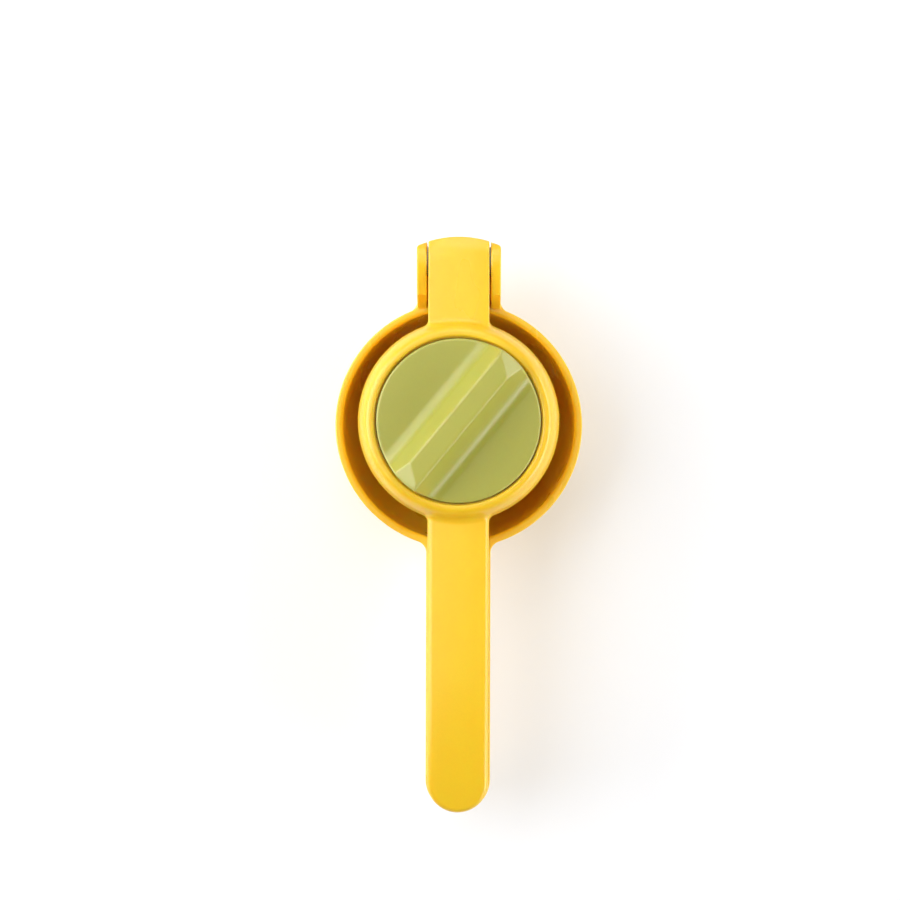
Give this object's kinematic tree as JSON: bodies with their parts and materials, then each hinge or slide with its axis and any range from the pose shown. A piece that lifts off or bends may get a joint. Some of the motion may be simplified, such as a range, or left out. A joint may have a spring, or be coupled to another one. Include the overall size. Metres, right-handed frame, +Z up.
{
  "type": "manual citrus juicer",
  "caption": "Hand-held lever citrus juicer with a strainer bowl, a hinged press arm, channel handles and a turn knob that spins a fluted reamer.",
  "frame": {"origin": "Centre of the bowl's flat foot, on the surface that the tool stands on.", "axes": "+Y runs from the handles to the hinge, along the tool. +Z is up, out of the bowl's mouth. +X is to the right when looking along +Y."},
  "size_m": [0.0942, 0.2186, 0.07],
  "materials": {
    "yellow_plastic": "smooth satin-gloss moulded yellow plastic",
    "green_plastic": "smooth satin-gloss moulded olive green plastic",
    "acetal": "natural white acetal, smooth and dull",
    "silicone": "soft translucent white silicone",
    "stainless_steel": "plain turned stainless steel"
  },
  "bodies": {
    "bowl_lever": {"lower_arm": "yellow_plastic", "hinge_pin": "stainless_steel", "hinge_washer_left": "acetal", "hinge_washer_right": "acetal"},
    "press_lever": {"upper_arm": "yellow_plastic", "thrust_ring": "acetal"},
    "press_rotor": {"turn_knob": "green_plastic", "press_head": "green_plastic", "seal_ring": "silicone", "clamp_screw": "stainless_steel", "screw_washer": "stainless_steel", "screw_plug": "green_plastic"}
  },
  "joints": [
    {"name": "lever_hinge", "type": "hinge", "parent": "bowl_lever", "child": "press_lever", "pos_m": [0, 0.062, 0.043], "axis": [-1, 0, 0], "range_deg": [0, 110]},
    {"name": "knob_turn", "type": "hinge", "parent": "press_lever", "child": "press_rotor", "pos_m": [0, 0.0015, 0.05], "axis": [0, 0, 1], "continuous": true}
  ]
}
